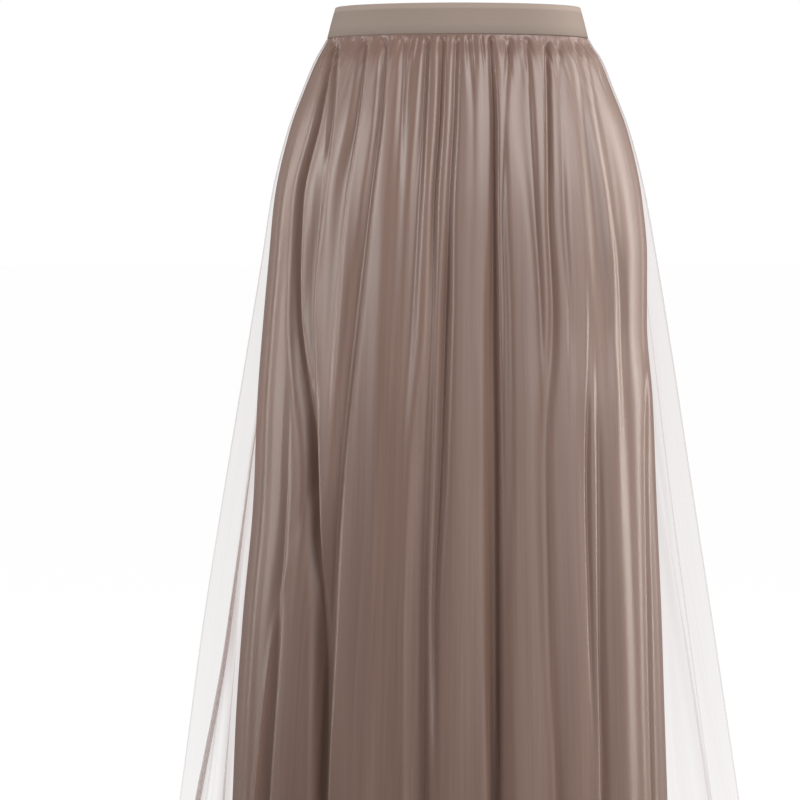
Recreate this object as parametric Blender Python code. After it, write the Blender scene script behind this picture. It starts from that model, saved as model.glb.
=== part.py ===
"""Gathered mesh maxi skirt over a satin lining, held open in its worn form.

Metres, +Z up. The origin is the middle of the waist opening, level with the
top edge of the waistband. The front faces -Y and the wearer's left is at +X.

Every section of the skirt is an oval built from four half-axes (left, right,
front and back). Angles run round the oval from the centre front (0 degrees)
through the +X side seam (90) and the centre back (180) to the -X side seam
(270 or -90). The tables give the outer envelope, where the ridges of the
cloth lie; gathers and folds sink into it.
"""

import math

import bmesh
import bpy
from mathutils import Vector

# ---------------------------------------------------------------- dimensions

MM = 0.001
SEAM_GAP = 0.3 * MM            # clearance between two sewn pieces

BAND_HEIGHT = 30.0 * MM
BAND_WALL = 2.6 * MM           # doubled elastic band
BAND_COLUMNS = 84

MESH_WALL = 1.0 * MM
MESH_COLUMNS = 60              # per half; two columns make one gather
LINING_WALL = 1.0 * MM
LINING_COLUMNS = 36            # per half; four columns make one gather
LINING_INSET = 1.5 * MM        # lining's outer face inside the band's outer face

# Half-axes of the waistband's outer face, in millimetres.
BAND_TABLE_COLUMNS = ("z", "left", "right", "front", "back")
BAND_TABLE = (
    (0.0,   119.0, 120.0, 87.5, 88.5),
    (-30.0, 127.0, 127.8, 93.2, 95.2),
)

# Outer skirt: half-axes of the envelope, the depth of the gathers that come
# out of the waist seam, and how far the long folds are developed (0 to 1).
MESH_TABLE_COLUMNS = ("z", "left", "right", "front", "back", "gather", "fold")
MESH_TABLE = (
    (-30.3,   127.0, 127.8,  93.2,  95.2, 0.0, 0.00),
    (-36.0,   130.6, 131.4,  96.2,  98.2, 2.0, 0.00),
    (-50.0,   138.4, 140.6, 102.5, 105.5, 5.0, 0.05),
    (-78.0,   150.4, 152.2, 110.8, 116.2, 5.0, 0.15),
    (-120.0,  166.0, 168.4, 120.5, 129.5, 4.8, 0.25),
    (-175.0,  180.2, 182.8, 129.6, 143.6, 3.8, 0.28),
    (-245.0,  191.4, 195.6, 139.2, 156.2, 3.5, 0.50),
    (-345.0,  208.0, 212.0, 154.0, 171.0, 3.0, 0.80),
    (-462.0,  227.5, 230.0, 171.0, 189.0, 2.0, 0.95),
    (-600.0,  249.5, 251.5, 192.0, 208.0, 1.2, 1.00),
    (-780.0,  274.0, 279.0, 217.0, 233.0, 0.6, 1.00),
    (-1000.0, 308.0, 313.0, 246.0, 262.0, 0.3, 1.00),
)

# Lining skirt: the same columns.
LINING_TABLE_COLUMNS = ("z", "left", "right", "front", "back", "gather", "fold")
LINING_TABLE = (
    (-30.3,   125.5, 126.3,  91.7,  93.7, 0.0, 0.00),
    (-36.0,   127.0, 127.8,  92.8,  94.8, 0.6, 0.00),
    (-50.0,   130.6, 132.8,  96.0,  99.0, 1.6, 0.10),
    (-78.0,   143.9, 145.7, 103.8, 109.2, 3.0, 0.25),
    (-120.0,  159.5, 161.9, 113.0, 122.5, 4.0, 0.45),
    (-188.0,  177.0, 179.0, 122.8, 137.3, 4.6, 0.65),
    (-305.0,  190.0, 186.0, 129.0, 145.0, 3.6, 0.90),
    (-480.0,  200.0, 196.0, 134.0, 149.0, 2.2, 1.00),
    (-700.0,  218.0, 205.0, 142.0, 157.0, 1.2, 1.00),
    (-965.0,  232.0, 216.0, 152.0, 167.0, 0.4, 1.00),
)

# Long soft troughs. "waist", "thigh" and "hem" are the angle of the trough's
# floor at those heights, "width" is its half-width in degrees and "depth" its
# full depth in millimetres.
FOLD_COLUMNS = ("waist", "thigh", "hem", "width", "depth")
WAIST_Z, THIGH_Z, HEM_Z = -30.0 * MM, -400.0 * MM, -1000.0 * MM
MESH_FRONT_FOLDS = (
    (-80.0, -66.0, -70.0, 5.0, 13.0),
    (-70.0, -57.0, -54.0, 5.5, 12.0),
    (-60.0, -46.0, -37.0, 6.0, 15.0),
    (-30.5, -28.5, -27.0, 6.0, 14.0),
    (-18.0, -17.0, -16.0, 4.5, 9.0),
    (-5.3, -7.4, -7.1, 4.5, 13.0),
    (12.4, 9.4, 8.8, 4.5, 15.0),
    (40.3, 24.7, 21.7, 5.5, 12.0),
    (54.6, 39.9, 32.0, 6.0, 14.0),
    (72.5, 54.9, 50.0, 6.0, 14.0),
)
MESH_BACK_FOLDS = (
    (104.0, 106.0, 107.5, 6.0, 14.0),
    (119.0, 121.0, 124.0, 6.5, 17.0),
    (134.0, 137.5, 139.0, 6.0, 14.0),
    (150.0, 154.0, 156.0, 6.5, 16.0),
    (169.0, 171.0, 173.0, 5.5, 12.0),
    (185.0, 187.0, 188.0, 6.0, 16.0),
    (202.0, 204.0, 206.5, 6.0, 13.0),
    (220.0, 221.0, 222.5, 6.5, 17.0),
    (236.0, 237.0, 238.0, 6.0, 14.0),
    (252.0, 253.5, 254.0, 6.0, 15.0),
)
LINING_FRONT_FOLDS = (
    (-63.0, -44.0, -37.0, 8.0, 11.0),
    (-31.0, -32.0, -33.0, 8.0, 10.0),
    (-5.3, -9.0, -7.0, 7.0, 7.0),
    (12.5, 9.9, 11.0, 6.5, 18.0),
    (40.5, 26.0, 29.4, 8.0, 6.0),
    (55.0, 45.4, 40.7, 8.0, 10.0),
)
LINING_BACK_FOLDS = (
    (112.0, 114.0, 116.0, 9.0, 6.0),
    (135.0, 137.0, 139.0, 9.0, 8.0),
    (160.0, 162.0, 165.0, 9.0, 6.0),
    (187.0, 186.0, 185.0, 9.0, 8.0),
    (212.0, 211.0, 209.0, 9.0, 6.0),
    (240.0, 238.0, 236.0, 9.0, 7.0),
)

# Base colours (linear), roughness.
MATERIALS = {
    "waistband": ((0.39, 0.31, 0.26), 0.55),
    "mesh": ((0.42, 0.33, 0.31), 0.75),
    "lining": ((0.30, 0.22, 0.19), 0.38),
}

# ------------------------------------------------------------------- helpers


def named(columns, rows):
    """Table rows as dictionaries, lengths turned into metres."""
    table = []
    for row in rows:
        entry = dict(zip(columns, row))
        for key in ("z", "left", "right", "front", "back", "gather", "depth"):
            if key in entry:
                entry[key] *= MM
        table.append(entry)
    return table


def oval_point(section, degrees, half_gap):
    """Point and outward normal of a section's envelope at an angle."""
    angle = math.radians(degrees)
    s, c = math.sin(angle), math.cos(angle)
    side = section["right"] if s >= 0.0 else section["left"]
    depth = section["front"] if c >= 0.0 else section["back"]
    y = -depth * c
    y += -half_gap if c > 1e-9 else (half_gap if c < -1e-9 else 0.0)
    normal = Vector((s / side, -c / depth, 0.0)).normalized()
    return Vector((side * s, y, section["z"])), normal


def uneven(index):
    """A fixed number between 0 and 1 for each gather."""
    value = math.sin(index * 12.9898 + 4.1414) * 43758.5453
    return value - math.floor(value)


def fold_angle(fold, z):
    """Angle of a trough's floor at a height."""
    if z >= THIGH_Z:
        share = (z - WAIST_Z) / (THIGH_Z - WAIST_Z)
        return fold["waist"] + (fold["thigh"] - fold["waist"]) * share
    share = (z - THIGH_Z) / (HEM_Z - THIGH_Z)
    return fold["thigh"] + (fold["hem"] - fold["thigh"]) * share


def fold_depth(folds, degrees, z, developed):
    """Depth of the deepest trough at this angle and height."""
    deepest = 0.0
    for fold in folds:
        reach = abs(degrees - fold_angle(fold, z)) / fold["width"]
        if reach < 1.0:
            profile = math.cos(0.5 * math.pi * reach) ** 2
            deepest = max(deepest, fold["depth"] * profile)
    return deepest * developed


def gather_depth(column, columns, period, depth):
    """Depth of the small gathers: zero on the ridges and at both seams."""
    phase = (column % period) / period
    profile = 0.5 - 0.5 * math.cos(2.0 * math.pi * phase)
    return depth * profile * (0.65 + 0.35 * uneven(column // period))


def half_section(section, first_degrees, columns, period, folds):
    """Outer outline of one half (front or back) of a section."""
    points = []
    for column in range(columns + 1):
        degrees = first_degrees + 180.0 * column / columns
        is_end = column in (0, columns)
        front = first_degrees < 0.0
        point, normal = oval_point(section, degrees, 0.0)
        point.y += (-0.5 if front else 0.5) * SEAM_GAP
        sink = 0.0
        if not is_end:
            sink = max(
                gather_depth(column, columns, period, section["gather"]),
                fold_depth(folds, degrees, section["z"], section["fold"]),
            )
        points.append(point - normal * sink)
    return points


def inner_section(outer, wall):
    """The outline moved inwards by the wall, square to the outline."""
    inner = []
    last = len(outer) - 1
    for i, point in enumerate(outer):
        if i in (0, last):
            # The seam edges stay in the seam's plane.
            inward = Vector((-1.0 if point.x > 0.0 else 1.0, 0.0, 0.0))
            inner.append(point + inward * wall)
            continue
        before = (point - outer[i - 1]).normalized()
        after = (outer[i + 1] - point).normalized()
        mean = (before + after).normalized()
        inward = Vector((-mean.y, mean.x, 0.0))
        stretch = 1.0 / max(inward.dot(Vector((-after.y, after.x, 0.0))), 0.6)
        inner.append(point + inward * wall * stretch)
    return inner


def quad(bm, a, b, c, d):
    """Two triangles, so that both faces of the cloth share their diagonals."""
    bm.faces.new((a, b, c))
    bm.faces.new((a, c, d))


def finish_object(name, bm, material):
    bmesh.ops.recalc_face_normals(bm, faces=bm.faces)
    mesh = bpy.data.meshes.new(name)
    bm.to_mesh(mesh)
    bm.free()
    mesh.materials.append(material)
    mesh.shade_smooth()
    mesh.set_sharp_from_angle(angle=math.radians(55.0))
    obj = bpy.data.objects.new(name, mesh)
    bpy.context.scene.collection.objects.link(obj)
    return obj


def skirt_half(name, table, first_degrees, columns, period, folds, wall, material):
    """One panel of cloth: a thin closed wall from seam to seam."""
    bm = bmesh.new()
    outer_rows, inner_rows = [], []
    for section in table:
        outer = half_section(section, first_degrees, columns, period, folds)
        inner = inner_section(outer, wall)
        outer_rows.append([bm.verts.new(p) for p in outer])
        inner_rows.append([bm.verts.new(p) for p in inner])
    rows = len(table)
    for i in range(rows - 1):
        for j in range(columns):
            quad(bm, outer_rows[i][j], outer_rows[i + 1][j],
                 outer_rows[i + 1][j + 1], outer_rows[i][j + 1])
            quad(bm, inner_rows[i][j], inner_rows[i + 1][j],
                 inner_rows[i + 1][j + 1], inner_rows[i][j + 1])
    for i in (0, rows - 1):
        for j in range(columns):
            quad(bm, outer_rows[i][j], outer_rows[i][j + 1],
                 inner_rows[i][j + 1], inner_rows[i][j])
    for j in (0, columns):
        for i in range(rows - 1):
            quad(bm, outer_rows[i][j], outer_rows[i + 1][j],
                 inner_rows[i + 1][j], inner_rows[i][j])
    return finish_object(name, bm, material)


def waistband(material):
    """A closed loop with a slightly rounded top edge."""
    top, bottom = named(BAND_TABLE_COLUMNS, BAND_TABLE)
    # (share of the height from the top, inset from the outer face)
    edge = 0.7 * MM
    profile = (
        (1.0, 0.0),
        (0.5, 0.0),
        (edge / BAND_HEIGHT, 0.0),
        (0.0, edge),
        (0.0, BAND_WALL - edge),
        (edge / BAND_HEIGHT, BAND_WALL),
        (1.0, BAND_WALL),
    )
    bm = bmesh.new()
    loops = []
    for share, inset in profile:
        section = {key: top[key] + (bottom[key] - top[key]) * share
                   for key in BAND_TABLE_COLUMNS}
        loop = []
        for column in range(BAND_COLUMNS):
            point, normal = oval_point(section, 360.0 * column / BAND_COLUMNS, 0.0)
            loop.append(bm.verts.new(point - normal * inset))
        loops.append(loop)
    for i in range(len(loops)):
        upper, lower = loops[i], loops[(i + 1) % len(loops)]
        for j in range(BAND_COLUMNS):
            k = (j + 1) % BAND_COLUMNS
            quad(bm, upper[j], upper[k], lower[k], lower[j])
    return finish_object("waistband", bm, material)


def make_material(name, colour, roughness):
    material = bpy.data.materials.new(name)
    material.use_nodes = True
    shader = material.node_tree.nodes["Principled BSDF"]
    shader.inputs["Base Color"].default_value = (*colour, 1.0)
    shader.inputs["Roughness"].default_value = roughness
    shader.inputs["Metallic"].default_value = 0.0
    return material


# --------------------------------------------------------------------- build

for old in list(bpy.data.objects):
    bpy.data.objects.remove(old, do_unlink=True)

materials = {name: make_material(name, colour, roughness)
             for name, (colour, roughness) in MATERIALS.items()}

mesh_table = named(MESH_TABLE_COLUMNS, MESH_TABLE)
lining_table = named(LINING_TABLE_COLUMNS, LINING_TABLE)

root = bpy.data.objects.new("skirt", None)
bpy.context.scene.collection.objects.link(root)

pieces = [
    waistband(materials["waistband"]),
    skirt_half("mesh_front", mesh_table, -90.0, MESH_COLUMNS, 2,
               named(FOLD_COLUMNS, MESH_FRONT_FOLDS), MESH_WALL,
               materials["mesh"]),
    skirt_half("mesh_back", mesh_table, 90.0, MESH_COLUMNS, 2,
               named(FOLD_COLUMNS, MESH_BACK_FOLDS), MESH_WALL,
               materials["mesh"]),
    skirt_half("lining_front", lining_table, -90.0, LINING_COLUMNS, 4,
               named(FOLD_COLUMNS, LINING_FRONT_FOLDS), LINING_WALL,
               materials["lining"]),
    skirt_half("lining_back", lining_table, 90.0, LINING_COLUMNS, 4,
               named(FOLD_COLUMNS, LINING_BACK_FOLDS), LINING_WALL,
               materials["lining"]),
]
for piece in pieces:
    piece.parent = root
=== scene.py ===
import math

import bpy
import numpy as np
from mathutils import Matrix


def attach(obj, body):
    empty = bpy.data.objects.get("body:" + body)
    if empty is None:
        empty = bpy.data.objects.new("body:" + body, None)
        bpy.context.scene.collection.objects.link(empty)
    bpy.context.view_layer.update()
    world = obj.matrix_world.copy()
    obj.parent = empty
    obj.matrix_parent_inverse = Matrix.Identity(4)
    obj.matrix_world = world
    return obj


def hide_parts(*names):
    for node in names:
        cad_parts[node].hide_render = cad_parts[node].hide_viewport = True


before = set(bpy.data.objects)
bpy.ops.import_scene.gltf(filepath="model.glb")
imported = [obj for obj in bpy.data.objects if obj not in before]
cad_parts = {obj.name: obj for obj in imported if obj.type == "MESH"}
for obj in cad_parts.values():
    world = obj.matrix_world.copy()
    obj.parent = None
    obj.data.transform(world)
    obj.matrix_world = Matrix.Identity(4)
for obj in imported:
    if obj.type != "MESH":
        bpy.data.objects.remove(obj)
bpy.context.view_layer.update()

MM = 0.001
scene = bpy.context.scene

# --------------------------------------------------------------------------
# The garment's sizes. Angles run round the oval sections from the centre
# front (0, at -Y) through the +X seam (90) and the centre back (180).
# --------------------------------------------------------------------------

BAND = {  # half-axes of the waistband's outer face, mm
    #  z:   left, right, front, back
    0.0: (119.0, 120.0, 87.5, 88.5),
    -30.0: (127.0, 127.8, 93.2, 95.2),
}
BAND_WALL = 2.4

# Envelope of the outer skirt, mm: z, left, right, front, back
MESH_SECTIONS = (
    (-30.3, 126.9, 127.7, 93.1, 95.1),
    (-36.0, 130.2, 131.0, 95.8, 97.8),
    (-50.0, 138.4, 140.6, 102.5, 105.5),
    (-78.0, 150.4, 152.2, 110.8, 116.2),
    (-120.0, 166.0, 168.4, 120.5, 129.5),
    (-175.0, 180.2, 182.8, 129.6, 143.6),
    (-245.0, 191.4, 195.6, 139.2, 156.2),
    (-345.0, 208.0, 212.0, 154.0, 171.0),
    (-462.0, 227.5, 230.0, 171.0, 189.0),
    (-600.0, 249.5, 251.5, 192.0, 208.0),
    (-780.0, 274.0, 279.0, 217.0, 233.0),
    (-1000.0, 308.0, 313.0, 246.0, 262.0),
)

# Envelope of the lining, mm: z, left, right, front, back
LINING_SECTIONS = (
    (-30.3, 125.6, 126.4, 91.8, 93.8),
    (-36.0, 128.6, 129.4, 94.2, 96.2),
    (-50.0, 136.4, 138.6, 100.5, 103.5),
    (-78.0, 148.4, 150.2, 107.5, 112.9),
    (-120.0, 163.8, 166.2, 116.5, 125.5),
    (-188.0, 179.0, 181.0, 124.5, 138.5),
    (-245.0, 184.5, 186.0, 127.0, 143.0),
    (-305.0, 190.0, 186.0, 129.0, 145.0),
    (-384.0, 196.0, 192.0, 131.5, 147.0),
    (-480.0, 200.0, 196.0, 134.0, 149.0),
    (-600.0, 211.0, 201.5, 138.0, 153.0),
    (-700.0, 218.0, 205.0, 142.0, 157.0),
    (-780.0, 221.5, 208.0, 145.0, 160.0),
    (-965.0, 232.0, 216.0, 152.0, 167.0),
)

# Troughs of the lining's front. Each row is one fold; "x" is
# the trough's floor across the front (mm, right of the centre is positive) at
# the eight stations, "d" its depth there and "w" its half-width, both in mm.
STATIONS = (-35.0, -110.0, -190.0, -300.0, -440.0, -600.0, -776.0, -965.0)
SOFT = (1.0, 1.0, 0.9, 0.7, 0.4, 0.2, 0.2, 0.2)
LINING_FRONT = (
    dict(x=(-125, -148, -164, -162, -163, -171, -181, -187), d=(0, 0, 0, 0.5, 3.5, 7, 9, 9), w=(3, 3, 5, 5, 5, 6, 6, 6), l=(1, 1, 1, 1, 1, 1.3, 1.5, 1.5), r=(1, 1, 1, 1, 1, 0.8, 0.8, 0.8)),
    dict(x=(-100, -110, -120, -130, -141, -179, -199, -211), d=(0, 0, 0, 0, 1.6, -2.0, -3.0, -3.0), w=(4, 4, 4, 4, 4.5, 4.8, 5, 5), soft=1.0),
    dict(x=(-117, -130, -147, -150, -136.5, -132, -130, -131), d=(4, 8, 11, 14, 13.5, 11, 4, 2), w=(3.5, 4, 4.5, 5.2, 5.6, 5.6, 6, 6), l=(1, 1.2, 1.4, 1.1, 1.2, 1.4, 1.5, 1), r=(1, 1, 1.2, 1.0, 1.1, 1, 1, 1), soft=(1, 0.8, 0.6, 0.6, 0.5, 0.6, 0.6, 0.6)),
    dict(x=(-121, -134, -150, -150, -138, -134, -132, -132), d=(0, 0, 0, 1, 5, 5.5, 3, 0), w=10, l=2.2, r=0.4, soft=1.0),
    dict(x=(-121, -126, -131, -138.5, -139, -137, -137, -137), d=(0, 0, 5, 8, 1.5, 0, 0, 0), w=(4, 4, 3.8, 4, 5, 5, 5, 5), l=(1, 1, 2.2, 2.6, 1.5, 1, 1, 1)),
    dict(x=(-114, -119, -129, -136, -138, -137, -137, -137), d=(3.5, 4.2, 1.6, 0, 0, 0, 0, 0), w=(3.2, 3.2, 3.4, 4.0, 5, 5, 5, 5)),
    dict(x=(-86, -95, -108, -118, -126, -130, -132, -134), d=(5, 5, 4.4, 3.6, 1.4, 0, 0, 0), w=(3, 3.2, 3.6, 4, 5, 4, 4, 4), l=(1.4, 1.8, 3.2, 3.4, 2, 1, 1, 1)),
    dict(x=(-68, -73, -83, -96, -111, -119, -127, -130), d=(5, 5.5, 5, 4.5, 8, 16, 15, 13), w=(3, 3.2, 3.6, 5.5, 6, 6, 5.5, 6), l=(1.1, 1.0, 1.2, 1.2, 1, 2.2, 1.6, 1.3), flat=(0, 0, 0, 0, 0.0, 0.4, 0.8, 0.8)),
    dict(x=(-50, -53, -57, -63, -70, -72, -77, -82), d=(3, 2.8, 1.8, 1.5, 0.5, 0, 1, 1), w=(3.4, 4, 6, 6, 6, 6, 6, 6)),
    dict(x=(-28.5, -32, -37, -43, -52, -55, -59, -63), d=(5, 5.5, 5, 4, 1, 0, 1, 1), w=(2.6, 2.8, 3.2, 4, 5, 6, 6, 6), l=(1.2, 1.4, 1.8, 1.6, 1, 1, 1, 1), r=(1, 1, 1.3, 1.3, 1, 1, 1, 1)),
    dict(x=(-14, -16.5, -21.5, -24, -30, -34, -33, -33), d=(5, 5.5, 5, 4, 8, 11, 11, 11), w=(2.4, 2.6, 2.8, 3.6, 6.5, 7, 7, 7), l=(1, 1, 1, 1, 1.4, 1.3, 1.5, 1.5), r=(1, 1, 1, 1, 0.7, 0.7, 0.6, 0.6), flat=(0, 0, 0, 0, 0.7, 1, 1, 1)),
    dict(x=(-1, -3, -7, -10.5, -15, -21, -21, -20), d=(3.5, 4.5, 4.8, 9, 9, 6, 0, 0), w=(2.6, 2.8, 3.2, 4.6, 5, 3.5, 3, 3)),
    dict(x=(11, 15, 15, 9, 9, 9, 9, 10), d=(2.5, 0.6, 0.3, 0, 0, 0, 0, 0), w=(3, 3, 4, 4, 4, 4, 4, 4)),
    dict(x=(27, 33, 34, 34, 36, 37, 37.5, 38), d=(1.5, 3.8, 3.2, 3, 1, 0, 0, 0), w=(3, 3.8, 4.2, 5, 5, 5, 5, 5), l=(1.5, 2.4, 2.4, 2, 1, 1, 1, 1), r=0.8, soft=1.0),
    dict(x=(31, 35, 35.5, 36, 37, 37.5, 37.5, 38), d=(5, 5.5, 6.0, 8.5, 11, 14, 17, 18), w=(2.4, 2.5, 3.2, 4.6, 6.2, 6.8, 4.5, 5), l=(1, 1, 1, 1.3, 1.2, 1.1, 1.2, 1.2), r=(0.8, 0.8, 0.8, 0.7, 0.55, 0.5, 0.5, 0.5), flat=(0, 0, 0, 0.5, 1, 1, 1, 1)),
    dict(x=(34, 34, 36, 38, 38, 38, 38, 38), d=(0, 1, 3, 5, 6, 5, 4, 4), w=(20, 22, 24, 26, 27, 27, 27, 27), r=0.4, soft=1.0),
    dict(x=(49, 45, 43.5, 46, 47, 48, 50, 51), d=(3, 0.8, 2.8, 4, 2.5, 0, 0, 0), w=(2.8, 2.8, 2.8, 3.4, 4, 3, 3, 3)),
    dict(x=(66, 69, 73, 80, 84, 84, 85, 86), d=(2.0, 4.0, 3.0, 2.0, 0, 0, 0, 0), w=(3, 3.2, 3.4, 3.6, 4, 4, 4, 4), l=(1, 3.4, 1.8, 1, 1, 1, 1, 1), soft=1.0),
    dict(x=(84, 85, 86, 91, 84, 87, 96, 100), d=(4.0, 4.2, 3.6, 3.2, 3, 3, 4, 5), w=(3, 3.2, 3.4, 4, 6, 6, 6, 6), l=(0.8, 0.75, 0.8, 1.1, 1.3, 1.3, 1.3, 1.3)),
    dict(x=(98, 99, 101, 107, 109, 115, 123, 129), d=(1.2, 1.0, 2.4, 2.4, 1, 0, 0, 0), w=(3, 3.4, 3.8, 4.2, 4, 4, 4, 4)),
    dict(x=(102, 108, 118, 127, 124, 128, 134, 135), d=(0, 0, 0, 1.0, 3.2, 2.6, 0, 0), w=(3, 3, 3, 3.4, 3.2, 3.4, 3, 3), l=(1, 1, 1, 0.8, 0.7, 0.7, 1, 1)),
    dict(x=(106, 114, 125, 134, 136, 137, 140, 142), d=(0, 0, 0, 0, 4, 6, 8.5, 9.5), w=(3, 3, 4, 4.5, 4.5, 4.5, 5, 5.5), l=(1, 1, 1, 1, 0.8, 0.8, 0.8, 0.9), soft=(1, 1, 0.9, 0.7, 0.6, 0.5, 0.3, 0.3)),
    dict(x=(114, 122, 132, 142, 146, 146, 147, 148), d=(1.2, 1.8, 3.4, 3.0, 0.6, 0, 0, 0), w=(3.4, 4, 4.2, 4.6, 5, 4, 4, 4), l=(1.2, 1.8, 2.8, 3.2, 2, 1, 1, 1), r=(1, 1, 1.6, 1.7, 1, 1, 1, 1), soft=1.0),
    dict(x=(122, 134, 147, 159, 161, 162, 163, 164), d=(0.8, 1.0, 1.7, 1.7, 0.5, 0, 0, 0), w=(3, 3.6, 4, 4.6, 4.6, 5, 5, 5)),
    dict(x=(150, 165, 180, 186, 183, 185, 189, 194), d=(0, 0, 0, 0.3, 3.6, 3.8, 3.4, 3.2), w=(4, 5, 5, 5, 6, 6, 6, 6), l=(1, 1, 1, 1.5, 1.8, 1.8, 1.6, 1.6), r=0.7, soft=1.0),
)

# --------------------------------------------------------------------------
# Small numerical helpers
# --------------------------------------------------------------------------


def pchip(xs, ys, x):
    """Smooth interpolation that never overshoots its points."""
    xs, ys, x = np.asarray(xs, float), np.asarray(ys, float), np.asarray(x, float)
    if xs[0] > xs[-1]:
        xs, ys = xs[::-1], ys[::-1]
    h = np.diff(xs)
    d = np.diff(ys) / h
    m = np.zeros_like(ys)
    for k in range(1, len(xs) - 1):
        if d[k - 1] * d[k] > 0:
            w1, w2 = 2 * h[k] + h[k - 1], h[k] + 2 * h[k - 1]
            m[k] = (w1 + w2) / (w1 / d[k - 1] + w2 / d[k])
    m[0], m[-1] = d[0], d[-1]
    x = np.clip(x, xs[0], xs[-1])
    i = np.clip(np.searchsorted(xs, x) - 1, 0, len(h) - 1)
    t = (x - xs[i]) / h[i]
    return (ys[i] * (2 * t**3 - 3 * t**2 + 1) + ys[i + 1] * (3 * t**2 - 2 * t**3)
            + m[i] * h[i] * (t**3 - 2 * t**2 + t) + m[i + 1] * h[i] * (t**3 - t**2))


def axes_at(sections, z):
    """The four half-axes (mm) at each height of z (mm)."""
    table = np.array(sections, float)
    return [pchip(table[:, 0], table[:, k], z) for k in (1, 2, 3, 4)]


def oval(sections, theta, z):
    """Points (mm), unit outward normals and the arc length per radian."""
    left, right, front, back = (v[:, None] for v in axes_at(sections, z))
    s, c = np.sin(theta)[None, :], np.cos(theta)[None, :]
    a = np.where(s >= 0, right, left)
    b = np.where(c >= 0, front, back)
    x, y = a * s, -b * c
    nx, ny = s / a, -c / b
    length = np.hypot(nx, ny)
    metric = np.hypot(a * c, b * s)
    return x, y, nx / length, ny / length, metric, a, b


def smoothstep(t):
    t = np.clip(t, 0.0, 1.0)
    return t * t * (3 - 2 * t)


def trough(t):
    """Soft trough: a rounded floor and walls that run out gently."""
    return 0.3 * np.exp(-0.8 * t * t) + 0.7 * np.exp(-(np.sqrt(t * t + 0.2) - math.sqrt(0.2)) * 1.3)


def wander(rng, x, scale, octaves=3):
    """A smooth seeded line of values, about -1 to 1, that changes over scale."""
    out = np.zeros_like(x)
    total = 0.0
    for k in range(octaves):
        f = 2 * math.pi / scale * (1.7**k)
        for _ in range(2):
            out += np.sin(x * f * rng.uniform(0.8, 1.2) + rng.uniform(0, 6.28)) * 0.6**k
        total += 0.6**k
    return out / (1.4 * total)


def rows_between(z_top, z_low, count, crowd=0.25):
    """Heights (mm), closer together near the waist."""
    s = np.linspace(0.0, 1.0, count)
    return z_top + (z_low - z_top) * (crowd * s + (1 - crowd) * s * s)


# --------------------------------------------------------------------------
# Lining
# --------------------------------------------------------------------------


def at_stations(value, z):
    """A fold's number at each height, from one number or one per station."""
    if np.ndim(value) == 0:
        return np.full(len(z), float(value))
    return pchip(STATIONS, value, z)


def fold_sink(folds, theta, z, sections):
    """Depth (mm) of the listed troughs over a grid of heights and angles.
    "l" and "r" widen a trough's left or right bank, "soft" (0 to 1) rounds it,
    and "flat" (0 to 1) levels its floor and steepens its banks."""
    left, right, front, back = axes_at(sections, z)
    sink = np.zeros((len(z), len(theta)))
    for fold in folds:
        depth = at_stations(fold["d"], z)
        width = at_stations(fold["w"], z)
        if "x" in fold:
            x = at_stations(fold["x"], z)
            a = np.where(x >= 0, right, left)
            # the floor lies deeper in, so its place on the outline is further out
            middle = np.arcsin(np.clip(x / a, -0.995, 0.995))
            tilt = np.arctan2(np.sin(middle) / a, np.cos(middle) / front)
            x = x + 0.9 * depth * np.sin(tilt)
            middle = np.arcsin(np.clip(x / a, -0.995, 0.995))
        else:
            middle = np.radians(at_stations(fold["deg"], z))
        a = np.where(np.sin(middle) >= 0, right, left)
        b = np.where(np.cos(middle) >= 0, front, back)
        metric = np.hypot(a * np.cos(middle), b * np.sin(middle))
        off = (theta[None, :] - middle[:, None]) * metric[:, None]
        bank = np.where(off < 0, at_stations(fold.get("l", 1.0), z)[:, None],
                        at_stations(fold.get("r", 1.0), z)[:, None])
        t = off / (width[:, None] * bank)
        shape = trough(t)
        shape += (np.exp(-0.9 * t * t) - shape) * at_stations(fold.get("soft", SOFT), z)[:, None]
        if "flat" in fold:
            steep = 0.8 * np.exp(-(np.abs(t) / 1.25) ** 3.2) + 0.2 * trough(t / 1.6)
            shape = shape + (steep - shape) * at_stations(fold["flat"], z)[:, None]
        sink += depth[:, None] * shape
    return sink


def long_fold(waist, thigh, hem, wide, deep):
    """A fold that runs from the waist to the hem, by its angles at the waist,
    at the thigh and at the hem; "wide" and "deep" are its size low down, mm."""
    turn = [waist + (thigh - waist) * min(s, 1.0) + (hem - thigh) * max(s - 1.0, 0.0) / 1.6
            for s in ((-30.0 - z) / 370.0 for z in STATIONS)]
    d = tuple(deep * v for v in (0.25, 0.35, 0.40, 0.60, 0.85, 1.0, 1.0, 1.0))
    w = tuple(wide * v for v in (0.45, 0.50, 0.60, 0.70, 0.85, 0.95, 1.0, 1.0))
    return dict(deg=tuple(turn), d=d, w=w)


def short_folds(rng, first, last, count, deep):
    """Gathers that fade above the thigh, for the side the photograph hides."""
    folds = []
    pitch = (last - first) / (count + 1)
    for degrees in np.linspace(first, last, count + 2)[1:-1]:
        start = degrees + rng.uniform(-0.3, 0.3) * pitch
        drift = rng.uniform(-0.4, 0.4) * pitch
        path = tuple(start + drift * s for s in (0, 0.25, 0.5, 0.8, 1.0, 1.1, 1.15, 1.2))
        reach = rng.uniform(0.4, 1.0)
        d = tuple(deep * v for v in (1.0, 0.9, 0.8 * reach, 0.5 * reach, 0.2 * reach, 0.0, 0.0, 0.0))
        w = tuple(v * rng.uniform(0.85, 1.25) for v in (4.5, 5, 5.5, 6, 6, 6, 6, 6))
        folds.append(dict(deg=path, d=tuple(v * rng.uniform(0.7, 1.2) for v in d), w=w))
    return folds


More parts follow.
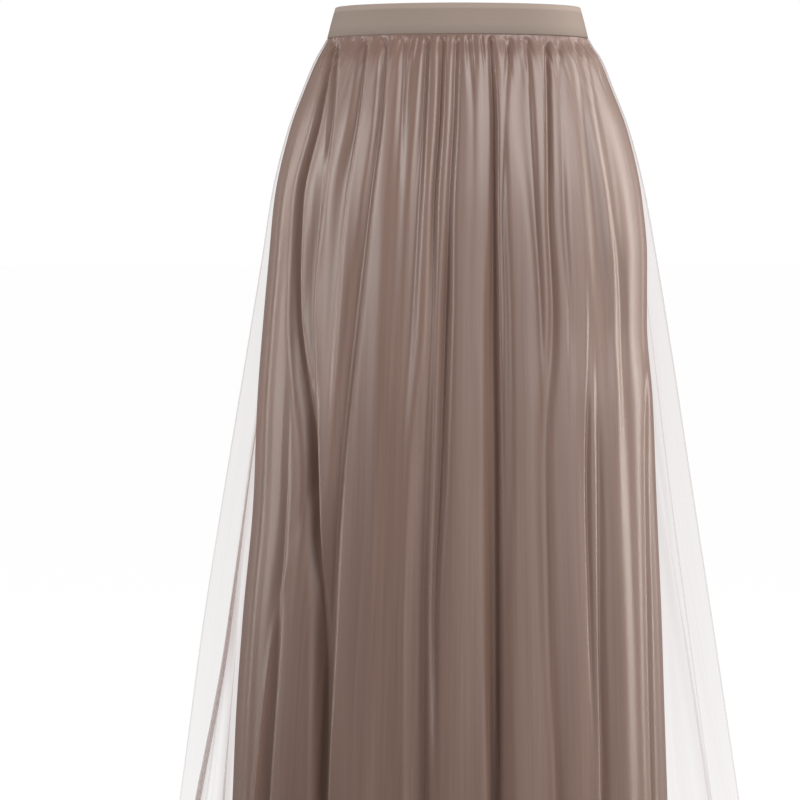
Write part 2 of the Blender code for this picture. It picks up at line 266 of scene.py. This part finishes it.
LINING_BACK = (
    long_fold(112, 114, 116, 10, 9), long_fold(135, 137, 139, 11, 12), long_fold(160, 162, 165, 10, 9),
    long_fold(187, 186, 185, 11, 12), long_fold(212, 211, 209, 10, 9), long_fold(240, 238, 236, 11, 11),
)
MESH_BACK = (
    long_fold(104, 106, 107.5, 14, 13), long_fold(119, 121, 124, 16, 16), long_fold(134, 137.5, 139, 14, 13),
    long_fold(150, 154, 156, 16, 15), long_fold(169, 171, 173, 13, 11), long_fold(185, 187, 188, 14, 15),
    long_fold(202, 204, 206.5, 14, 12), long_fold(220, 221, 222.5, 16, 16), long_fold(236, 237, 238, 14, 13),
    long_fold(252, 253.5, 254, 15, 14),
)


def gathers(theta, z, metric, count, rng, top_depth, fade):
    """Fine uneven gathers (mm) that start at the waist seam and die away."""
    lead = wander(rng, theta, 0.5) * 0.35 + wander(rng, theta, 0.12) * 0.10
    phase = (theta * count / math.pi + lead * 2.0)[None, :] * 2 * math.pi / 1.0
    drift = (wander(rng, theta, 0.9) * 0.9)[None, :] * np.clip(-(z[:, None] + 35) / 300.0, 0, 1.5)
    strength = (1.0 + 0.55 * wander(rng, theta, 0.21))[None, :]
    wave = 0.5 - 0.5 * np.cos(phase + drift)
    depth = top_depth * smoothstep(-(z + 30.5) / 5.0) * np.exp(-np.clip(-(z + 45.0), 0, None) / fade)
    return depth[:, None] * strength * wave**1.3


def lining_surface(half, columns, rows):
    rng = np.random.default_rng(41 if half == "front" else 77)
    z = rows_between(-30.3, -965.0, rows)
    if half == "front":
        theta = np.linspace(-math.pi / 2, math.pi / 2, columns)
        folds = LINING_FRONT
    else:
        theta = np.linspace(math.pi / 2, 3 * math.pi / 2, columns)
        folds = LINING_BACK + tuple(short_folds(rng, 92, 268, 15, 3.4))
    x, y, nx, ny, metric, _, _ = oval(LINING_SECTIONS, theta, z)
    sink = fold_sink(folds, theta, z, LINING_SECTIONS)
    open_up = smoothstep(-(z + 30.5) / 9.0)[:, None]
    sink = sink * open_up
    sink += gathers(theta, z, metric, 33, rng, 1.3, 16.0)
    # the fall of the cloth is never quite even
    sink += (1.2 * (wander(rng, theta, 0.30)[None, :] + 0.6)
             * smoothstep(-(z + 80.0) / 200.0)[:, None])
    edge = smoothstep((1.0 - np.abs((theta - theta.mean()) / (math.pi / 2))) / 0.05)[None, :]
    sink = sink * edge
    # the seam edges meet the other half 0.3 mm away
    y = y + (-0.15 if half == "front" else 0.15)
    px, py = x - nx * sink, y - ny * sink
    return px, py, np.repeat(z[:, None], columns, 1), sink, theta, z


def finish_edges(px, py, pz, extra, turn_up, allowance=6.0, covers=False):
    """Turns the hem up on the inside and both side seams in, as sewn. The first
    and last columns are the seam edges and the last row is the hem."""
    # hem: round the edge, then up inside the cloth, with a dent at the stitches
    mx, my = px[-1], py[-1]
    tx, ty = np.gradient(mx), np.gradient(my)
    length = np.hypot(tx, ty)
    inward = np.sign(-(mx * ty - my * tx))
    ix, iy = inward * ty / length, -inward * tx / length
    away = np.sign(mx * ix + my * iy)
    ix, iy = -ix * away, -iy * away
    steps = [(0.25, 0.3), (0.7, 0.3), (0.95, -0.4)] + [(1.0, -turn_up * s) for s in (0.25, 0.5, 0.75)] + [(0.55, -turn_up)]
    rows_x = [mx + ix * a for a, _ in steps]
    rows_y = [my + iy * a for a, _ in steps]
    rows_z = [pz[-1] - b for _, b in steps]
    px, py, pz = np.vstack([px, rows_x]), np.vstack([py, rows_y]), np.vstack([pz, rows_z])
    extra = np.vstack([extra] + [extra[-1:]] * len(steps))
    # side seams: the edge turns in and lies flat inside, or, where it covers the
    # seam, crosses to the other panel's side and lies under that one's edge
    sides = []
    for edge, near in ((0, 1), (-1, -2)):
        toward = np.sign(py[:, near] - py[:, edge])
        out = np.sign(px[:, edge])
        fold = [(0.35, 0.05), (0.9, 0.5), (1.1, 2.0), (1.2, allowance)]
        if covers:
            fold = [(0.35, -0.05), (0.9, -0.4), (1.9, -1.5), (2.2, -allowance)]
        sides.append((np.stack([px[:, edge] - out * a for a, _ in fold], 1),
                      np.stack([py[:, edge] + toward * b for _, b in fold], 1)))
    (lx, ly), (rx, ry) = sides
    count = lx.shape[1]
    px = np.hstack([lx[:, ::-1], px, rx])
    py = np.hstack([ly[:, ::-1], py, ry])
    pz = np.hstack([np.repeat(pz[:, :1], count, 1), pz, np.repeat(pz[:, -1:], count, 1)])
    extra = np.hstack([np.repeat(extra[:, :1], count, 1), extra, np.repeat(extra[:, -1:], count, 1)])
    return px, py, pz, extra


def grid_object(name, px, py, pz, width, attribute=None):
    """A sheet of cloth from a grid of points in millimetres. Its width is the
    cut's, so each column of points follows the same threads all the way down."""
    rows, columns = px.shape
    points = np.stack([px, py, pz], -1).reshape(-1, 3) * MM
    index = np.arange(rows * columns).reshape(rows, columns)
    quads = np.stack([index[:-1, :-1], index[1:, :-1], index[1:, 1:], index[:-1, 1:]], -1).reshape(-1, 4)
    mesh = bpy.data.meshes.new(name)
    mesh.vertices.add(len(points))
    mesh.vertices.foreach_set("co", points.astype(np.float32).ravel())
    mesh.loops.add(quads.size)
    mesh.loops.foreach_set("vertex_index", quads.astype(np.int32).ravel())
    mesh.polygons.add(len(quads))
    mesh.polygons.foreach_set("loop_start", np.arange(0, quads.size, 4, dtype=np.int32))
    mesh.update(calc_edges=True)
    # cloth coordinates in metres: across the cut, and down its length
    across = np.repeat(np.linspace(-width / 2, width / 2, columns)[None, :], rows, 0)
    down = np.zeros((rows, columns))
    step = np.sqrt(np.diff(px, axis=0) ** 2 + np.diff(py, axis=0) ** 2 + np.diff(pz, axis=0) ** 2)
    down[1:] = np.cumsum(np.repeat(step.mean(1, keepdims=True), columns, 1), 0)
    uv = np.stack([across, down], -1).reshape(-1, 2) * MM
    layer = mesh.uv_layers.new(name="cloth")
    layer.data.foreach_set("uv", uv[quads.ravel()].astype(np.float32).ravel())
    if attribute is not None:
        for key, values in attribute.items():
            data = mesh.attributes.new(key, "FLOAT", "POINT")
            data.data.foreach_set("value", values.astype(np.float32).ravel())
    mesh.shade_smooth()
    obj = bpy.data.objects.new(name, mesh)
    scene.collection.objects.link(obj)
    return obj


# --------------------------------------------------------------------------
# Outer skirt
# --------------------------------------------------------------------------

# Tight folds of the sheer cloth, one over the other: "deg" is the angle at
# the stations, "lap" how far the cloth laps over itself (mm), "rise" how far
# the lap stands off (mm), "bunch" how much more cloth is drawn into it and
# "wide" over what width (mm).
MESH_LAPS_FRONT = (
    dict(deg=(-78, -72, -66, -62.5, -61, -59.9, -64.9, -69.5), lap=(0, 0, 0, 1, 4, 7, 8, 9), rise=(0, 0, 0, 1, 3, 5, 6, 6), bunch=(0, 0, 0, 0.6, 3.0, 4.6, 4.8, 3.5)),
    dict(deg=(-70, -66, -63, -61, -59.5, -56.5, -54.0, -50), lap=(0, 0, 0, 0, 1, 3, 5, 6), rise=(0, 0, 0, 0, 1, 2, 4, 4), bunch=(0, 0, 0.3, 0.8, 1.4, 1.4, 2.2, 2.0), wide=9.0),
    dict(deg=(-36, -36, -36, -36, -37, -44.2, -45.4, -47), lap=(0, 0, 0, 0, 0, 4, 6, 6), rise=(0, 0, 0, 0, 0, 2, 4, 4), bunch=(0, 0, 0, 0, 0, 1.6, 2.0, 1.6), wide=4.0),
    dict(deg=(68, 66, 64, 62, 62, 65.3, 71.5, 78), lap=(0, 0, 0, 0, 1, 2.5, 3, 3), rise=(0, 0, 0, 0, 1, 2, 3, 3), bunch=(0, 0, 0, 0, 0, 0.2, 0.2, 0.2)),
    dict(deg=(66, 62, 60, 63, 59.5, 54.5, 50.5, 45), lap=(0, 0, 0, 0, 1, 1, 1, 1), rise=(0, 0, 0, 0, 1, 1, 1, 1), bunch=(0, 0, 0.2, 0.8, 1.0, 0.7, 0.6, 0.5), wide=11.0),
)
MESH_STATIONS = (-35.0, -110.0, -190.0, -300.0, -440.0, -600.0, -776.0, -1000.0)

MESH_FRONT = (
    dict(x=(-116, -132, -150, -158, -160, -164, -172, -180), d=(3, 5, 6, 6, 6, 7, 8, 9), w=(4, 5, 7, 9, 11, 13, 15, 17)),
    dict(x=(-66, -73, -84, -94, -107, -118, -128, -140), d=(3, 4, 4, 6, 9, 12, 14, 15), w=(4, 5, 6, 7, 9, 11, 13, 15)),
    dict(x=(-40, -48, -54, -58, -64, -70, -76, -85), d=(1, 2, 3, 4, 6, 7, 8, 9), w=(4, 4, 5, 6, 7, 8, 9, 10)),
    dict(x=(-12, -17, -23, -26, -29, -32, -34, -38), d=(3, 4, 4, 5, 8, 11, 13, 14), w=(4, 4, 6, 7, 8, 9, 11, 13)),
    dict(x=(28, 35, 35, 36, 36, 38, 42, 48), d=(4, 6, 7, 9, 12, 14, 15, 16), w=(4, 4, 5, 6, 8, 9, 9, 11)),
    dict(x=(84, 87, 91, 92, 92, 96, 104, 116), d=(3, 5, 6, 7, 8, 9, 11, 12), w=(4, 5, 7, 9, 10, 12, 13, 15)),
    dict(x=(106, 116, 130, 138, 142, 146, 152, 166), d=(2, 4, 5, 6, 8, 10, 12, 13), w=(4, 5, 6, 7, 8, 10, 12, 14)),
    dict(x=(124, 148, 164, 174, 184, 198, 214, 240), d=(0, 2, 3, 5, 7, 9, 11, 12), w=(4, 5, 7, 9, 10, 12, 14, 16)),
)


def mesh_surface(half, columns, rows):
    rng = np.random.default_rng(905 if half == "front" else 411)
    z = rows_between(-30.3, -1000.0, rows)
    if half == "front":
        theta = np.linspace(-math.pi / 2, math.pi / 2, columns)
        folds, laps = MESH_FRONT, MESH_LAPS_FRONT
    else:
        theta = np.linspace(math.pi / 2, 3 * math.pi / 2, columns)
        folds = MESH_BACK
        laps = (
            dict(deg=(265, 262, 258, 252, 248, 245, 243, 242), lap=(0, 0, 0, 0, 2, 4, 6, 7), rise=(0, 0, 0, 0, 2, 3, 5, 5)),
            dict(deg=(215, 214, 213, 212, 211, 211, 210, 210), lap=(0, 0, 0, 1, 3, 5, 6, 7), rise=(0, 0, 0, 1, 2, 4, 5, 5)),
            dict(deg=(165, 166, 167, 168, 168, 168, 168, 168), lap=(0, 0, 0, 1, 3, 5, 6, 7), rise=(0, 0, 0, 1, 2, 4, 5, 5)),
            dict(deg=(120, 120, 119, 118, 117, 116, 115, 114), lap=(0, 0, 0, 1, 3, 5, 6, 7), rise=(0, 0, 0, 1, 2, 4, 5, 5)),
        )
    x, y, nx, ny, metric, a, b = oval(MESH_SECTIONS, theta, z)
    open_up = smoothstep(-(z + 30.5) / 9.0)[:, None]
    sink = fold_sink(folds, theta, z, MESH_SECTIONS) * open_up
    inward = np.cos(theta - theta.mean())[None, :] ** 2
    low = smoothstep(-(z + 120.0) / 120.0)[:, None]
    calm = 1.0 - low * (1.0 - (0.12 + 0.88 * inward))
    sink += (gathers(theta, z, metric, 43, rng, 0.8, 160.0)
             + gathers(theta, z, metric, 31, rng, 0.9, 500.0)) * calm
    edge = smoothstep((1.0 - np.abs((theta - theta.mean()) / (math.pi / 2))) / 0.04)[None, :]
    puckers = (0.5 - 0.5 * np.cos(theta * 70 + 2.6 * wander(rng, theta, 0.25))) ** 1.6
    puckers = puckers * (1.0 + 0.5 * wander(rng, theta, 0.11))
    sink += 1.5 * puckers[None, :] * (smoothstep(-(z + 30.6) / 2.5) * np.exp(-np.clip(-(z + 33.0), 0, None) / 7.0))[:, None]
    sink = sink * edge
    # it lies over the lining, never inside it
    lx, ly, lnx, lny, _, _, _ = oval(LINING_SECTIONS, theta, z)
    _, _, _, lining_sink, lining_theta, lining_z = LINING[half]
    gap = np.hypot(x, y) - np.hypot(lx, ly)
    below = np.empty_like(gap)
    column = np.interp(theta, lining_theta, np.arange(len(lining_theta)))
    left_col = np.clip(np.floor(column).astype(int), 0, len(lining_theta) - 2)
    share = column - left_col
    row = np.interp(-z, -lining_z, np.arange(len(lining_z)))
    top_row = np.clip(np.floor(row).astype(int), 0, len(lining_z) - 2)
    down = (row - top_row)[:, None]
    s00 = lining_sink[top_row][:, left_col]
    s01 = lining_sink[top_row][:, left_col + 1]
    s10 = lining_sink[top_row + 1][:, left_col]
    s11 = lining_sink[top_row + 1][:, left_col + 1]
    under = ((s00 * (1 - share) + s01 * share) * (1 - down)
             + (s10 * (1 - share) + s11 * share) * down)
    room = gap + under - 1.1
    room = np.maximum(room, 0.0)
    # a soft limit: close to the lining the cloth rides over it
    sink = room - np.logaddexp(0.0, (room - sink) / 0.8) * 0.8
    sink = np.where(z[:, None] < -31.0, sink, 0.0)
    # laps: the cloth slides along itself and stands off
    slide = np.zeros_like(sink)
    rise = np.zeros_like(sink)
    bunched = np.ones_like(sink)
    for lap in laps:
        middle = np.radians(pchip(MESH_STATIONS, lap["deg"], z))
        width = pchip(MESH_STATIONS, lap["lap"], z)
        high = pchip(MESH_STATIONS, lap["rise"], z)
        arc = (theta[None, :] - middle[:, None]) * metric
        t = arc / 5.0
        slide -= (width[:, None] * 1.5) * t * np.exp(-t * t)
        rise += high[:, None] * np.exp(-((t - 0.35) ** 2) * 1.2)
        bunched += pchip(MESH_STATIONS, lap.get("bunch", (0,) * 8), z)[:, None] * np.exp(-(arc / lap.get("wide", 4.6)) ** 2)
    tx, ty = a * np.cos(theta)[None, :], b * np.sin(theta)[None, :]
    tlen = np.hypot(tx, ty)
    tx, ty = tx / tlen, ty / tlen
    y = y + (-0.15 if half == "front" else 0.15)
    px = x - nx * (sink - rise) + tx * slide
    py = y - ny * (sink - rise) + ty * slide
    # thread density seen square-on: how much cloth lies in each mm of outline
    # the cut is as wide at the waist as at the hem, so it is crowded there
    du = np.hypot(np.gradient(px, axis=1), np.gradient(py, axis=1))
    smooth = metric * (theta[1] - theta[0])
    around = smooth.sum(1, keepdims=True)
    crowded = np.clip(around[-1:] / around, 1.0, 3.0)
    seam = 1.0 + 0.7 * np.exp((z[:, None] + 30.0) / 6.0)
    density = np.clip(du / np.maximum(smooth, 1e-6), 0.8, 4.0) * crowded * bunched * seam
    return px, py, np.repeat(z[:, None], columns, 1), density


# --------------------------------------------------------------------------
# Materials
# --------------------------------------------------------------------------


def new_material(name):
    material = bpy.data.materials.new(name)
    material.use_nodes = True
    nodes, links = material.node_tree.nodes, material.node_tree.links
    shader = nodes["Principled BSDF"]
    return material, nodes, links, shader


def satin_material():
    material, nodes, links, shader = new_material("satin_lining")
    uv = nodes.new("ShaderNodeUVMap"); uv.uv_map = "cloth"
    streaks = nodes.new("ShaderNodeMapping"); streaks.inputs["Scale"].default_value = (260.0, 5.0, 1.0)
    links.new(uv.outputs["UV"], streaks.inputs["Vector"])
    fine = nodes.new("ShaderNodeTexNoise"); fine.inputs["Scale"].default_value = 1.0
    fine.inputs["Detail"].default_value = 3.0
    links.new(streaks.outputs["Vector"], fine.inputs["Vector"])
    broad_map = nodes.new("ShaderNodeMapping"); broad_map.inputs["Scale"].default_value = (22.0, 2.2, 1.0)
    links.new(uv.outputs["UV"], broad_map.inputs["Vector"])
    broad = nodes.new("ShaderNodeTexNoise"); broad.inputs["Scale"].default_value = 1.0
    broad.inputs["Detail"].default_value = 2.0
    links.new(broad_map.outputs["Vector"], broad.inputs["Vector"])
    ramp = nodes.new("ShaderNodeValToRGB")
    ramp.color_ramp.elements[0].position = 0.30
    ramp.color_ramp.elements[0].color = (0.160, 0.096, 0.072, 1)
    ramp.color_ramp.elements[1].position = 0.70
    ramp.color_ramp.elements[1].color = (0.200, 0.124, 0.095, 1)
    links.new(broad.outputs["Fac"], ramp.inputs["Fac"])
    mix = nodes.new("ShaderNodeMix"); mix.data_type = "RGBA"; mix.blend_type = "OVERLAY"
    mix.inputs["Factor"].default_value = 0.22
    links.new(ramp.outputs["Color"], mix.inputs["A"])
    links.new(fine.outputs["Fac"], mix.inputs["B"])
    links.new(mix.outputs["Result"], shader.inputs["Base Color"])
    rough = nodes.new("ShaderNodeMapRange")
    rough.inputs["To Min"].default_value = 0.395
    rough.inputs["To Max"].default_value = 0.465
    links.new(fine.outputs["Fac"], rough.inputs["Value"])
    links.new(rough.outputs["Result"], shader.inputs["Roughness"])
    bump = nodes.new("ShaderNodeBump"); bump.inputs["Strength"].default_value = 0.12
    bump.inputs["Distance"].default_value = 0.0008
    links.new(fine.outputs["Fac"], bump.inputs["Height"])
    links.new(bump.outputs["Normal"], shader.inputs["Normal"])
    shader.inputs["Specular IOR Level"].default_value = 1.0
    shader.inputs["Sheen Weight"].default_value = 0.15
    shader.inputs["Sheen Roughness"].default_value = 0.4
    return material


def mesh_material():
    material, nodes, links, shader = new_material("sheer_mesh")
    uv = nodes.new("ShaderNodeUVMap"); uv.uv_map = "cloth"
    streaks = nodes.new("ShaderNodeMapping"); streaks.inputs["Scale"].default_value = (180.0, 3.0, 1.0)
    links.new(uv.outputs["UV"], streaks.inputs["Vector"])
    fine = nodes.new("ShaderNodeTexNoise"); fine.inputs["Scale"].default_value = 1.0
    fine.inputs["Detail"].default_value = 3.0
    links.new(streaks.outputs["Vector"], fine.inputs["Vector"])
    density = nodes.new("ShaderNodeAttribute"); density.attribute_name = "threads"
    # opacity = 1 - (1 - one layer) ^ density
    one = nodes.new("ShaderNodeMapRange")
    one.inputs["To Min"].default_value = 0.954
    one.inputs["To Max"].default_value = 0.913
    links.new(fine.outputs["Fac"], one.inputs["Value"])
    power = nodes.new("ShaderNodeMath"); power.operation = "POWER"
    links.new(one.outputs["Result"], power.inputs[0])
    links.new(density.outputs["Fac"], power.inputs[1])
    alpha = nodes.new("ShaderNodeMath"); alpha.operation = "SUBTRACT"
    alpha.inputs[0].default_value = 1.0
    links.new(power.outputs["Value"], alpha.inputs[1])
    links.new(alpha.outputs["Value"], shader.inputs["Alpha"])
    colour = nodes.new("ShaderNodeValToRGB")
    colour.color_ramp.elements[0].position = 0.35
    colour.color_ramp.elements[0].color = (0.246, 0.130, 0.102, 1)
    colour.color_ramp.elements[1].position = 0.65
    colour.color_ramp.elements[1].color = (0.352, 0.200, 0.166, 1)
    links.new(fine.outputs["Fac"], colour.inputs["Fac"])
    links.new(colour.outputs["Color"], shader.inputs["Base Color"])
    shader.inputs["Roughness"].default_value = 0.6
    shader.inputs["Specular IOR Level"].default_value = 0.3
    shader.inputs["Sheen Weight"].default_value = 0.1
    return material


def band_material():
    material, nodes, links, shader = new_material("elastic_band")
    uv = nodes.new("ShaderNodeUVMap"); uv.uv_map = "cloth"
    ribs = nodes.new("ShaderNodeTexWave")
    ribs.wave_type = "BANDS"; ribs.bands_direction = "Y"
    ribs.inputs["Scale"].default_value = 130.0
    ribs.inputs["Distortion"].default_value = 0.4
    links.new(uv.outputs["UV"], ribs.inputs["Vector"])
    noise = nodes.new("ShaderNodeTexNoise"); noise.inputs["Scale"].default_value = 900.0
    noise.inputs["Detail"].default_value = 2.0
    links.new(uv.outputs["UV"], noise.inputs["Vector"])
    ramp = nodes.new("ShaderNodeValToRGB")
    ramp.color_ramp.elements[0].position = 0.2
    ramp.color_ramp.elements[0].color = (0.243, 0.193, 0.163, 1)
    ramp.color_ramp.elements[1].position = 0.8
    ramp.color_ramp.elements[1].color = (0.277, 0.221, 0.188, 1)
    links.new(noise.outputs["Fac"], ramp.inputs["Fac"])
    # painted shade and painted highlight: the colour darkens towards the lower edge and lightens in a line along the
    # top edge
    split = nodes.new("ShaderNodeSeparateXYZ")
    links.new(uv.outputs["UV"], split.inputs["Vector"])
    level = nodes.new("ShaderNodeMapRange")
    level.inputs["From Max"].default_value = 0.030
    links.new(split.outputs["Y"], level.inputs["Value"])
    painted_light_ramp = nodes.new("ShaderNodeValToRGB")
    painted_light_ramp.color_ramp.elements[0].position = 0.0
    painted_light_ramp.color_ramp.elements[0].color = (0.78, 0.78, 0.78, 1)
    painted_light_ramp.color_ramp.elements[1].position = 1.0
    painted_light_ramp.color_ramp.elements[1].color = (1.22, 1.22, 1.22, 1)
    for place, value in ((0.10, 0.88), (0.35, 1.0), (0.80, 0.98), (0.86, 1.22)):
        stop = painted_light_ramp.color_ramp.elements.new(place)
        stop.color = (value, value, value, 1)
    links.new(level.outputs["Result"], painted_light_ramp.inputs["Fac"])
    # the painted shade and highlight are multiplied into the band's colour
    band_with_painted_light = nodes.new("ShaderNodeMix"); band_with_painted_light.data_type = "RGBA"; band_with_painted_light.blend_type = "MULTIPLY"
    band_with_painted_light.inputs["Factor"].default_value = 1.0
    links.new(ramp.outputs["Color"], band_with_painted_light.inputs["A"])
    links.new(painted_light_ramp.outputs["Color"], band_with_painted_light.inputs["B"])
    links.new(band_with_painted_light.outputs["Result"], shader.inputs["Base Color"])
    bump = nodes.new("ShaderNodeBump"); bump.inputs["Strength"].default_value = 0.10
    bump.inputs["Distance"].default_value = 0.0003
    links.new(ribs.outputs["Fac"], bump.inputs["Height"])
    links.new(bump.outputs["Normal"], shader.inputs["Normal"])
    shader.inputs["Roughness"].default_value = 0.7
    shader.inputs["Specular IOR Level"].default_value = 0.2
    shader.inputs["Sheen Weight"].default_value = 0.05
    shader.inputs["Sheen Roughness"].default_value = 0.5
    return material


# --------------------------------------------------------------------------
# Pieces
# --------------------------------------------------------------------------

LINING = {half: lining_surface(half, 600, 150) for half in ("front", "back")}
satin, tulle, elastic = satin_material(), mesh_material(), band_material()

CUTS = {}
LINING_WIDTH, MESH_WIDTH = 785.0, 1000.0      # each panel's cut, mm
for half in ("front", "back"):
    px, py, pz, *_ = LINING[half]
    px, py, pz, _ = finish_edges(px, py, pz, np.zeros_like(px), 18.0, covers=half == "front")
    piece = grid_object(f"lining_{half}_cloth", px, py, pz, LINING_WIDTH)
    piece.data.materials.append(satin)
    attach(piece, "root")
    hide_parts(f"lining_{half}")
    CUTS[piece.name] = piece

    px, py, pz, density = mesh_surface(half, 620, 150)
    px, py, pz, density = finish_edges(px, py, pz, density, 7.0)
    piece = grid_object(f"mesh_{half}_cloth", px, py, pz, MESH_WIDTH, {"threads": density})
    piece.data.materials.append(tulle)
    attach(piece, "root")
    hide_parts(f"mesh_{half}")
    CUTS[piece.name] = piece


def waistband():
    """A closed band, softly rounded at both edges."""
    columns = 360
    theta = np.linspace(0, 2 * math.pi, columns, endpoint=False)
    profile = []          # (height mm, inset mm from the outer face)
    for k in range(7):    # top edge, rounded
        angle = math.pi * k / 6
        profile.append((-1.2 + 1.2 * math.sin(angle), BAND_WALL / 2 - BAND_WALL / 2 * math.cos(angle)))
    outside = [(-30.0, 0.25), (-29.2, 0.0), (-26.0, -0.05), (-20.0, -0.15), (-14.0, -0.18),
               (-8.0, -0.12), (-4.0, -0.02), (-2.4, 0.02)]
    inside = [(-2.4, BAND_WALL), (-10.0, BAND_WALL), (-20.0, BAND_WALL), (-29.2, BAND_WALL), (-30.0, BAND_WALL - 0.25)]
    loop = outside + profile + inside
    top, low = np.array(BAND[0.0]), np.array(BAND[-30.0])
    verts = []
    for height, inset in loop:
        share = min(max(-height / 30.0, 0.0), 1.0)
        sections = ((0.0, *top), (-30.0, *low))
        x, y, nx, ny, *_ = oval(sections, theta, np.array([height]))
        verts.append(np.stack([x[0] - nx[0] * inset, y[0] - ny[0] * inset, np.full(columns, height)], -1))
    verts = np.array(verts)
    count = len(loop)
    index = np.arange(count * columns).reshape(count, columns)
    faces = []
    nxt = np.roll(np.arange(columns), -1)
    for i in range(count):
        k = (i + 1) % count
        faces.append(np.stack([index[i], index[i][nxt], index[k][nxt], index[k]], -1))
    faces = np.concatenate(faces)
    mesh = bpy.data.meshes.new("waistband_cloth")
    mesh.from_pydata((verts.reshape(-1, 3) * MM).tolist(), [], faces.tolist())
    layer = mesh.uv_layers.new(name="cloth")
    run = np.cumsum(np.r_[0, np.hypot(*np.diff(verts[5][:, :2], axis=0).T)])
    heights = np.cumsum([0] + [math.dist(loop[i], loop[i - 1]) for i in range(1, count)])
    uv = np.stack([np.broadcast_to(run[None, :], (count, columns)),
                   np.broadcast_to(heights[:, None], (count, columns))], -1).reshape(-1, 2) * MM
    loops = np.empty(len(mesh.loops), np.int32)
    mesh.loops.foreach_get("vertex_index", loops)
    layer.data.foreach_set("uv", uv[loops].astype(np.float32).ravel())
    mesh.shade_smooth()
    obj = bpy.data.objects.new("waistband_cloth", mesh)
    scene.collection.objects.link(obj)
    return obj


band = waistband()
band.data.materials.append(elastic)
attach(band, "root")
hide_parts("waistband")


def surface_area(obj):
    mesh = obj.data
    mesh.calc_loop_triangles()
    co = np.empty(len(mesh.vertices) * 3, np.float32)
    mesh.vertices.foreach_get("co", co)
    co = co.reshape(-1, 3)
    tri = np.empty(len(mesh.loop_triangles) * 3, np.int32)
    mesh.loop_triangles.foreach_get("vertices", tri)
    tri = tri.reshape(-1, 3)
    return float(np.linalg.norm(np.cross(co[tri[:, 1]] - co[tri[:, 0]], co[tri[:, 2]] - co[tri[:, 0]]), axis=1).sum() / 2)


for name, piece in CUTS.items():
    print("AREA", name, round(surface_area(piece), 4), flush=True)
print("AREA band", round(surface_area(band), 4), flush=True)

# --------------------------------------------------------------------------
# Floor, light and camera
# --------------------------------------------------------------------------

FLOOR_Z = -1.06


def floor():
    mesh = bpy.data.meshes.new("floor")
    count, radius = 96, 60.0
    ring = [(radius * math.cos(2 * math.pi * k / count), radius * math.sin(2 * math.pi * k / count), FLOOR_Z)
            for k in range(count)]
    mesh.from_pydata(ring, [], [list(range(count))])
    material, nodes, links, shader = new_material("floor")
    shader.inputs["Base Color"].default_value = (0.06, 0.06, 0.06, 1)
    shader.inputs["Roughness"].default_value = 0.9
    shader.inputs["Specular IOR Level"].default_value = 0.0
    shader.inputs["Emission Color"].default_value = (1, 1, 1, 1)
    shader.inputs["Emission Strength"].default_value = 0.975
    mesh.materials.append(material)
    obj = bpy.data.objects.new("floor", mesh)
    scene.collection.objects.link(obj)
    obj.visible_diffuse = False
    obj.visible_glossy = False
    return obj


floor()


def area_light(name, place, aim, size, power, colour=(1, 1, 1)):
    data = bpy.data.lights.new(name, "AREA")
    data.shape = "RECTANGLE"
    data.size, data.size_y = size
    data.energy = power
    data.color = colour
    obj = bpy.data.objects.new(name, data)
    obj.location = place
    direction = np.array(aim, float) - np.array(place, float)
    from mathutils import Vector
    obj.rotation_euler = Vector(direction).to_track_quat("-Z", "Y").to_euler()
    scene.collection.objects.link(obj)
    return obj


area_light("key_right", (2.10, -2.10, 0.95), (0.0, 0.0, -0.50), (3.0, 2.0), 110.0, (1.0, 0.985, 0.965))
area_light("high_right", (1.60, -1.55, 1.60), (0.0, 0.0, -0.10), (0.5, 0.5), 8.0, (1.0, 0.985, 0.965))
area_light("key_left", (-0.92, -0.60, 0.06), (0.0, 0.0, -0.24), (0.34, 0.62), 6.9, (1.0, 0.99, 0.98))
area_light("side_right", (2.95, 1.15, 0.28), (0.0, 0.0, -0.48), (0.9, 2.6), 76.0, (1.0, 0.955, 0.905))
area_light("side_left", (-3.00, 0.90, 0.20), (0.0, 0.0, -0.48), (0.9, 2.0), 38.0, (1.0, 0.95, 0.89))

world = bpy.data.worlds.new("world")
scene.world = world
world.use_nodes = True
nodes, links = world.node_tree.nodes, world.node_tree.links
background = nodes["Background"]
seen = nodes.new("ShaderNodeBackground")
background.inputs["Color"].default_value = (1, 1, 1, 1)
background.inputs["Strength"].default_value = 0.22
seen.inputs["Color"].default_value = (1, 1, 1, 1)
seen.inputs["Strength"].default_value = 1.0
path = nodes.new("ShaderNodeLightPath")
mix = nodes.new("ShaderNodeMixShader")
links.new(path.outputs["Is Camera Ray"], mix.inputs["Fac"])
links.new(background.outputs["Background"], mix.inputs[1])
links.new(seen.outputs["Background"], mix.inputs[2])
links.new(mix.outputs["Shader"], nodes["World Output"].inputs["Surface"])

scene.view_settings.view_transform = "Standard"
scene.view_settings.look = "None"
scene.cycles.transparent_max_bounces = 48

DISTANCE, EYE_Z = 3.5, -0.2033
FOCAL_PX = 3571.4
camera_data = bpy.data.cameras.new("camera")
camera_data.sensor_width = 36.0
camera_data.lens = 36.0 * FOCAL_PX / 800.0
camera_data.clip_end = 200.0
camera = bpy.data.objects.new("camera", camera_data)
camera.location = (0.0, -DISTANCE, EYE_Z)
pitch = math.atan((400.0 - 216.4) / FOCAL_PX)
yaw = math.atan((457.0 - 400.0) / FOCAL_PX)
camera.rotation_euler = (math.pi / 2 - pitch, 0.0, yaw)
scene.collection.objects.link(camera)
scene.camera = camera
